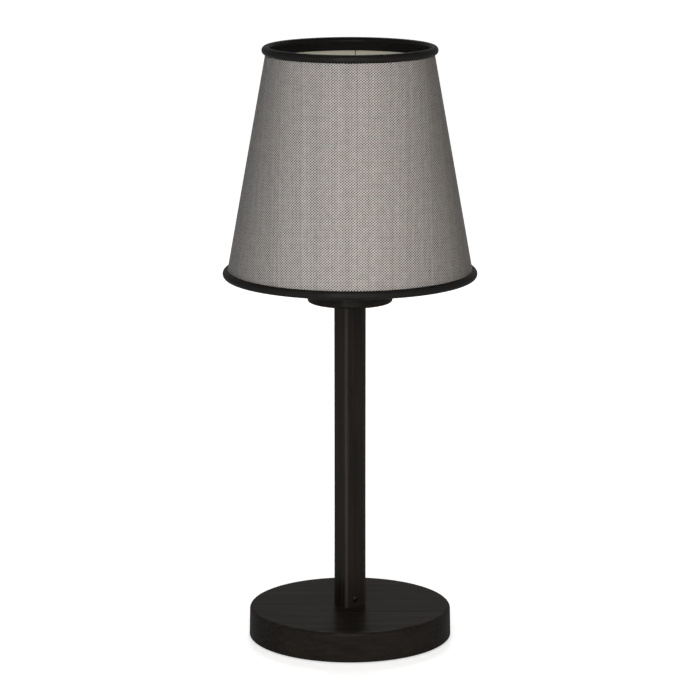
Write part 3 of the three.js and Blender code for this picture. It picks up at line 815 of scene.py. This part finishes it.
def add_lampholder():
    outer, bottom, top = cap_high.x, cap_low.z, cap_high.z
    inner = outer - CAP_WALL
    ledge = bottom + CAP_LEDGE_HEIGHT
    ledge_inner = inner - CAP_LEDGE_WIDTH
    hub = BOLT_HOLE + HUB_WALL
    hub_top = bottom + HUB_HEIGHT
    cap = turned(
        (BOLT_HOLE, bottom, SOFT), (outer, bottom, CAP_FOOT_ROUND), (outer, top, SOFT),
        (inner, top, EASED), (inner, ledge), (ledge_inner, ledge, EASED),
        (ledge_inner, bottom + CAP_FLOOR), (hub, bottom + CAP_FLOOR), (hub, hub_top, EASED),
        (BOLT_HOLE, hub_top, EASED),
    )
    piece("lampholder_cap", cap, black_plastic, "stand", "black_plastic", "holder_cap")

    boss_foot = insert_high.z - BOSS_HEIGHT
    insert = turned(
        (0, insert_low.z), (insert_high.x, insert_low.z, SOFT), (insert_high.x, boss_foot, SOFT),
        (BOSS_RADIUS, boss_foot, EASED), (BOSS_RADIUS, insert_high.z, SOFT), (0, insert_high.z),
        closed=False, steps=SMALL_STEPS,
    )
    piece("lampholder_insert", insert, ceramic, "stand", "ceramic", "holder_insert")

    top = shell_high.z
    flange_top = collar_low.z - PLATE_THICKNESS - 2 * SEAT_GAP
    flange_bottom = flange_top - SHELL_FLANGE_THICKNESS
    sleeve_bottom = top - SLEEVE_DEPTH
    skirt_root = SKIRT_RADIUS - SKIRT_THREAD_DEPTH
    sleeve_root = SLEEVE_BORE + LAMP_THREAD_DEPTH
    brow_foot = top - RIM_CHAMFER
    skirt_thread = wound(
        skirt_root, SKIRT_RADIUS, flange_top, brow_foot, SKIRT_THREAD_PITCH, SKIRT_THREAD_ROUND
    )
    lamp_thread = wound(
        sleeve_root, SLEEVE_BORE, sleeve_bottom, brow_foot, LAMP_THREAD_PITCH, SLEEVE_THREAD_ROUND
    )
    shell = together(skirt_thread, lamp_thread)
    between = (SLEEVE_RADIUS + SKIRT_RADIUS - SKIRT_WALL) / 2
    outer_top = rim(shell, brow_foot, outside=between)
    inner_top = rim(shell, brow_foot, inside=between)
    brow = carried(shell, outer_top, (skirt_root, top), (sleeve_root, top))
    bmesh.ops.bridge_loops(shell, edges=brow + inner_top)
    skirt_inner = SKIRT_RADIUS - SKIRT_WALL
    web = flange_top - SEAT_GAP
    collar_inner = SHELL_COLLAR_RADIUS - SHELL_COLLAR_WALL
    foot = carried(
        shell, rim(shell, sleeve_bottom, inside=between), (SLEEVE_RADIUS, sleeve_bottom),
        (SLEEVE_RADIUS, top - RIM_THICKNESS), (skirt_inner, top - RIM_THICKNESS), (skirt_inner, web),
        (collar_inner, web), (collar_inner, shell_low.z), (SHELL_COLLAR_RADIUS, shell_low.z),
        (SHELL_COLLAR_RADIUS, flange_bottom), (shell_high.x - SOFT, flange_bottom),
        (shell_high.x, flange_bottom + SOFT), (shell_high.x, flange_top - SOFT),
        (shell_high.x - SOFT, flange_top),
    )
    flange_rim = rim(shell, flange_top, inside=SKIRT_RADIUS + RADIUS_WITHIN)
    bmesh.ops.bridge_loops(shell, edges=foot + flange_rim)
    piece(
        "lampholder_shell", sealed(shell), black_plastic, "stand", "black_plastic", "holder_shell",
        even=False,
    )


def add_collar():
    """The ribbed ring nut."""
    bottom, top = collar_low.z, collar_high.z
    flange_top = bottom + COLLAR_FLANGE_THICKNESS
    ring = turned(
        (COLLAR_BORE, bottom, EASED), (collar_high.x, bottom, SOFT), (collar_high.x, flange_top, SOFT),
        (COLLAR_WALL_RADIUS, flange_top), (COLLAR_WALL_RADIUS, top, COLLAR_BROW_ROUND),
        (COLLAR_BORE, top, SOFT), steps=COLLAR_RIBS * COLLAR_RIB_FACETS,
    )
    middle = (flange_top + top) / 2
    groove = 1 / COLLAR_RIB_FACETS
    ribs = []
    for face in ring.faces:
        centre = face.calc_center_median()
        on_wall = centre.z > flange_top and abs(centre.xy.length - COLLAR_WALL_RADIUS) < RADIUS_WITHIN
        share = (math.atan2(centre.y, centre.x) / math.tau * COLLAR_RIBS) % 1
        if on_wall and abs(centre.z - middle) < middle - flange_top and groove < share < 1 - groove:
            ribs.append(face)
    grown = bmesh.ops.extrude_face_region(ring, geom=ribs)["geom"]
    bmesh.ops.delete(ring, geom=ribs, context="FACES_ONLY")
    for vert in (item for item in grown if isinstance(item, bmesh.types.BMVert)):
        vert.co.xy = vert.co.xy.normalized() * COLLAR_RIB_RADIUS
    piece("clamp_collar", sealed(ring), black_plastic, "collar", "black_plastic", "shade_collar")


def bent_wire(route, bend):
    """A round wire in the XZ plane through a few points, bent to a radius at each corner."""
    points = [Vector((x, 0, z)) for x, z in route]
    shape = bmesh.new()
    facing = (points[1] - points[0]).to_track_quat("Z", "Y").to_matrix().to_4x4()
    bmesh.ops.create_circle(
        shape, cap_ends=True, segments=WIRE_SIDES, radius=WIRE_RADIUS,
        matrix=Matrix.Translation(points[0]) @ facing,
    )
    ring = shape.edges[:]
    here = points[0]

    def drawn_to(ring, here, there):
        grown = bmesh.ops.extrude_edge_only(shape, edges=ring)["geom"]
        moved = [item for item in grown if isinstance(item, bmesh.types.BMVert)]
        bmesh.ops.translate(shape, vec=there - here, verts=moved)
        return [item for item in grown if isinstance(item, bmesh.types.BMEdge)]

    for before, corner, after in zip(points, points[1:], points[2:]):
        heading, leaving = (corner - before).normalized(), (after - corner).normalized()
        angle = heading.angle(leaving)
        axis = heading.cross(leaving).normalized()
        start = corner - heading * bend * math.tan(angle / 2)
        ring = drawn_to(ring, here, start)
        centre = start + axis.cross(heading) * bend
        swept = bmesh.ops.spin(
            shape, geom=ring, cent=centre, axis=axis, dvec=(0, 0, 0), angle=angle,
            steps=ARM_BEND_STEPS, use_merge=False,
        )["geom_last"]
        ring = [item for item in swept if isinstance(item, bmesh.types.BMEdge)]
        here = corner + leaving * bend * math.tan(angle / 2)
    ring = drawn_to(ring, here, points[-1])
    bmesh.ops.edgeloop_fill(shape, edges=ring)
    return sealed(shape)


def add_carrier():
    """The plate on the lampholder and its three wire arms."""
    plate_top = collar_low.z - SEAT_GAP
    plate_bottom = plate_top - PLATE_THICKNESS
    plate = turned(
        (COLLAR_BORE, plate_bottom, CRISP), (PLATE_RADIUS, plate_bottom, EASED),
        (PLATE_RADIUS, plate_top, EASED), (COLLAR_BORE, plate_top, CRISP),
    )
    high = plate_bottom - WIRE_RADIUS + SEAT_GAP
    arm_end = LOWER_RADIUS - WIRE_RADIUS - SEAT_GAP
    route = [
        (ARM_START, high), (PLATE_RADIUS + ARM_RUN_ON, high),
        (arm_end - ARM_FLAT_END - ARM_RUN_ON, LOWER_HEIGHT), (arm_end, LOWER_HEIGHT),
    ]
    arms = [placed(bent_wire(route, ARM_BEND), turn(angle, "Z")) for angle in ARM_ANGLES]
    carrier = together(plate, *arms)
    piece("shade_spider", carrier, white_wire, "shade", "white_wire", "shade_carrier")


def rolled_sheet(offset, lap, seam_turn, rise, rows):
    """A sheet rolled into the shade's cone, with its ends lapped at the back, and its flat pattern."""
    sheet = bmesh.new()
    flat = sheet.loops.layers.uv.new("flat_cloth")
    bmesh.ops.create_grid(sheet, x_segments=SHEET_COLUMNS, y_segments=rows, size=0.5)
    top, bottom = sheet_ends(offset)
    cone_sine = DOWN_SLOPE.x
    sweep = flat_sector(offset, lap) / cone_sine
    lap_share = 1 - math.tau / sweep
    ease = lap_share * LAP_EASE
    for face in sheet.faces:
        for loop in face.loops:
            place = loop.vert.co
            radius = bottom.x + (top.x - bottom.x) * (place.y + 0.5)
            angle = place.x * sweep * cone_sine
            slant = radius / cone_sine * MM
            loop[flat].uv = (slant * math.sin(angle), -slant * math.cos(angle))
    for vert in sheet.verts:
        radius, height = bottom.lerp(top, vert.co.y + 0.5)
        lifted = min(max((vert.co.x + 0.5 - 1 + lap_share) / ease + 0.5, 0), 1) * rise
        azimuth = vert.co.x * sweep + seam_turn - math.pi / 2
        radius += OUTWARD.x * lifted
        vert.co = (radius * math.cos(azimuth), radius * math.sin(azimuth), height + OUTWARD.y * lifted)
    return sheet


def thickened(made, thickness):
    """Gives a sheet its thickness on its inner side, and lights it as one curve up to the edges."""
    wall = made.modifiers.new("thickness", "SOLIDIFY")
    wall.thickness = thickness * MM
    wall.offset = -1
    wall.use_even_offset = True
    made.modifiers.new("even_light", "WEIGHTED_NORMAL")


def facing_out(sheet):
    """Turns a sheet's faces away from the axis."""
    face = sheet.faces[:][0]
    face.normal_update()
    if face.normal.xy.dot(face.calc_center_median().xy) < 0:
        bmesh.ops.reverse_faces(sheet, faces=sheet.faces[:])
    return sheet


def add_shade():
    cover_sheet = facing_out(rolled_sheet(COVER_OUTER, COVER_LAP, 0.0, LAP_RISE, COVER_ROWS))
    cover = piece("woven_cover", cover_sheet, weave, "shade", "grey_fabric", "shade_fabric", even=False)
    thickened(cover, COVER_THICKNESS)

    lining_sheet = facing_out(
        rolled_sheet(LINING_OUTER, LINING_LAP, LINING_SEAM_TURN, -LAP_RISE, LINING_ROWS)
    )
    lining = piece(
        "lining_sheet", lining_sheet, film, "shade", "cream_lining", "shade_lining", even=False
    )
    thickened(lining, LINING_THICKNESS)


def bound_edge(edge):
    """The tape rolled round a wire, slit for the panel, with a hem down the inside."""

    def arc(radius, start, end, steps):
        """Points on an arc about the wire, from one angle to another."""
        angles = [start + (end - start) * step / steps for step in range(steps + 1)]
        return [(radius * math.cos(angle), radius * math.sin(angle)) for angle in angles]

    slit_outside = math.asin(SLIT_OUTER / BEAD_RADIUS)
    leg_outside = math.tau + math.asin(LEG_INNER / BEAD_RADIUS)
    slit_in_bore = math.tau + math.asin(SLIT_INNER / BEAD_BORE)
    bore_end = math.asin(SLIT_OUTER / BEAD_BORE)
    outside = arc(BEAD_RADIUS, slit_outside, leg_outside, BEAD_STEPS)
    inside = arc(BEAD_BORE, slit_in_bore, bore_end, BORE_STEPS)
    leg = [(LEG_END, LEG_INNER, LEG_ROUND), (LEG_END, SLIT_INNER, CRISP)]
    section = []
    for point in (*outside, *leg, *inside):
        section.append((*near_wire(edge, point[0], point[1]), *point[2:]))
    return turned(*section, steps=EDGE_STEPS)


def add_bindings():
    holes = []
    for angle in ARM_ANGLES:
        start = LOWER_RADIUS - 2 * BEAD_RADIUS
        hole = rod(WIRE_RADIUS + SEAT_GAP, start, LOWER_RADIUS, ARM_HOLE_STEPS)
        holes.append(placed(hole, turn(90, "Y"), turn(angle, "Z"), shift(0, 0, LOWER_HEIGHT)))
    lower, upper = bound_edge("lower"), bound_edge("upper")
    piece("lower_bound_edge", lower, tape, "shade", "black_binding", "lower_binding", holes=holes)
    piece("upper_bound_edge", upper, tape, "shade", "black_binding", "upper_binding")


def add_bulb():
    tip = turned(
        (0, tip_low.z), (tip_high.x, tip_low.z, BULB_TIP_ROUND), (tip_high.x, tip_high.z),
        (0, tip_high.z), closed=False, steps=SMALL_STEPS,
    )
    piece("bulb_tip", tip, zinc, "bulb", "zinc_steel", "bulb_contact")
    insulator = turned(
        (0, insulator_low.z), (tip_high.x + SEAT_GAP, insulator_low.z, SOFT),
        (insulator_high.x, insulator_high.z, EASED), (0, insulator_high.z),
        closed=False, steps=SMALL_STEPS,
    )
    piece("bulb_glass_ring", insulator, black_plastic, "bulb", "black_plastic", "bulb_insulator")

    radius, bottom, top = bulb_cap_high.x, bulb_cap_low.z, bulb_cap_high.z
    root = radius - LAMP_THREAD_DEPTH
    thread_bottom, thread_top = bottom + BULB_THREAD_FOOT, top - BULB_THREAD_HEAD
    cap = wound(root, radius, thread_bottom, thread_top, LAMP_THREAD_PITCH, CAP_THREAD_ROUND)
    upper = carried(
        cap, rim(cap, thread_top), (root, thread_top + THREAD_RUNOUT), (root, top), (BULB_CAP_LIP, top)
    )
    lower = carried(
        cap, rim(cap, thread_bottom), (radius - BULB_FOOT_TAPER, bottom), (BULB_CAP_LIP, bottom)
    )
    bmesh.ops.edgeloop_fill(cap, edges=upper)
    bmesh.ops.edgeloop_fill(cap, edges=lower)
    piece("bulb_threaded_cap", sealed(cap), zinc, "bulb", "zinc_steel", "bulb_screw_cap", even=False)

    narrow, wide = bulb_cap_high.x + BULB_NECK_STEP, housing_high.x
    low, high = housing_low.z, housing_high.z
    flare = []
    for step in range(FLARE_STEPS + 1):
        share = step / FLARE_STEPS
        swell = 0.5 - 0.5 * math.cos(math.pi * share)
        flare.append((narrow + (wide - narrow) * swell, low + (high - low) * share))
    housing = turned((0, low), *flare, (0, high), closed=False)
    piece("bulb_body", housing, white_plastic, "bulb", "white_plastic", "bulb_housing")

    radius = dome_high.x
    centre = dome_high.z - radius

    def dome(size):
        """Points from the dome's open foot up to the axis."""
        start = math.asin((dome_low.z - centre) / size)
        points = []
        for step in range(DOME_STEPS):
            angle = start + (math.pi / 2 - start) * step / DOME_STEPS
            points.append((size * math.cos(angle), centre + size * math.sin(angle)))
        return [*points, (0, centre + size)]

    globe = turned(*dome(radius)[::-1], *dome(radius - DOME_WALL), closed=False)
    piece("bulb_dome", globe, opal_plastic, "bulb", "opal_plastic", "bulb_diffuser")


def dress_kept_nodes():
    """Gives the small inner pieces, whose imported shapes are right, their finishes."""
    finishes = {
        "centre_contact": brass, "side_contact": brass, "terminal_screw_left": brass,
        "terminal_screw_right": brass, "upper_wire": white_wire, "lower_wire": white_wire,
    }
    for name, finish in finishes.items():
        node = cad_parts[name]
        node.data.materials.clear()
        node.data.materials.append(finish)


def add_camera():
    data = bpy.data.cameras.new("photo_camera")
    data.lens = CAMERA_LENS
    data.sensor_width = CAMERA_SENSOR
    data.clip_end = CAMERA_REACH
    camera = bpy.data.objects.new("photo_camera", data)
    camera.location = CAMERA_PLACE
    camera.rotation_euler = (math.radians(90) - CAMERA_TILT, 0, 0)
    bpy.context.scene.collection.objects.link(camera)
    bpy.context.scene.camera = camera


def seen_rays(made):
    """1 for the rays of the camera, of a reflection or of a view through glass, and otherwise 0."""
    rays = made.node("ShaderNodeLightPath").outputs
    reflected = made.maths("MAXIMUM", rays["Is Camera Ray"], rays["Is Glossy Ray"])
    return made.maths("MAXIMUM", reflected, rays["Is Transmission Ray"])


def add_floor():
    """A pale floor, white where it is seen, that keeps a shadow and shows nothing from below.

    It glows less near the lamp, where the lamps light it, so that the shadow shows there.
    """
    shape = bmesh.new()
    bmesh.ops.create_circle(
        shape, cap_ends=True, segments=FLOOR_SIDES, radius=FLOOR_RADIUS,
        matrix=shift(0, 0, -FLOOR_GAP),
    )
    floor = object_of("floor", shape)
    floor.data.transform(Matrix.Scale(MM, 4))
    paper = Finish("pale_floor", (0.65, 0.65, 0.65), 0.9, Specular_IOR_Level=0.0)
    paper.shader.inputs["Emission Color"].default_value = (1, 1, 1, 1)
    distance = paper.node("ShaderNodeVectorMath", {"operation": "LENGTH"}, Vector=paper.place)
    near, far = NEAR_RADIUS * MM, FAR_RADIUS * MM
    glow = paper.ranged(distance.outputs["Value"], near, far, NEAR_GLOW, FAR_GLOW)
    shown = paper.maths("MULTIPLY", seen_rays(paper), glow)
    paper.feed(paper.shader.inputs["Emission Strength"], shown)
    from_below = paper.node("ShaderNodeNewGeometry").outputs["Backfacing"]
    paper.feed(paper.shader.inputs["Alpha"], paper.maths("SUBTRACT", 1.0, from_below))
    floor.data.materials.append(paper.material)


def add_light(name, place, size, power, colour):
    """A soft light that faces the lamp and isn't seen itself."""
    data = bpy.data.lights.new(name, "AREA")
    data.shape = "RECTANGLE"
    data.size, data.size_y = size
    data.energy = power
    data.color = colour
    light = bpy.data.objects.new(name, data)
    light.location = place
    light.rotation_euler = (SOFTBOX_AIM - place).to_track_quat("-Z", "Y").to_euler()
    light.visible_camera = False
    bpy.context.scene.collection.objects.link(light)


def add_lights():
    """Soft studio light: three tall strips close in front, a softbox above them and one behind."""
    white, warm = (1, 1, 1), (1, 0.88, 0.74)
    # Name, azimuth and elevation in degrees, distance and size in metres, power in watts, colour
    softboxes = (
        ("left_strip_light", -12, 11, 0.42, (0.05, 0.6), 0.68, white),
        ("middle_strip_light", 3, 11, 0.42, (0.05, 0.6), 0.39, white),
        ("right_strip_light", 17, 11, 0.42, (0.05, 0.6), 0.37, warm),
        ("front_softbox", -5, 32, 1.1, (0.4, 0.6), 1.53, white),
        ("back_softbox", 180, 46, 1.3, (0.4, 0.6), 8.8, white),
    )
    for name, azimuth, elevation, distance, size, power, colour in softboxes:
        around, up = math.radians(azimuth), math.radians(elevation)
        away = Vector((math.sin(around) * math.cos(up), -math.cos(around) * math.cos(up), math.sin(up)))
        add_light(name, SOFTBOX_AIM + away * distance, size, power, colour)


def add_room():
    """A dim room with a lit ceiling, white where it is seen, up to the ceiling."""
    world = bpy.data.worlds.new("studio")
    world.use_nodes = True
    bpy.context.scene.world = world
    room = NodeSet(world.node_tree)
    direction = room.node("ShaderNodeTexCoord").outputs["Generated"]
    height = room.node("ShaderNodeSeparateXYZ", Vector=direction).outputs["Z"]
    light = room.ranged(height, CEILING_START, CEILING_FULL, ROOM_LEVEL, CEILING_LEVEL)
    white = room.ranged(height, CEILING_START, WHITE_END, 1.0, 0.0)
    shown = room.maths("MULTIPLY", white, seen_rays(room))
    background = world.node_tree.nodes["Background"]
    background.inputs["Color"].default_value = (1, 1, 1, 1)
    room.feed(background.inputs["Strength"], room.maths("MAXIMUM", light, shown))


add_camera()
add_base()
add_tie()
add_post()
add_disc()
add_lampholder()
add_collar()
add_carrier()
add_shade()
add_bindings()
add_bulb()
dress_kept_nodes()
add_floor()
add_lights()
add_room()
bpy.context.scene.view_settings.view_transform = "Standard"
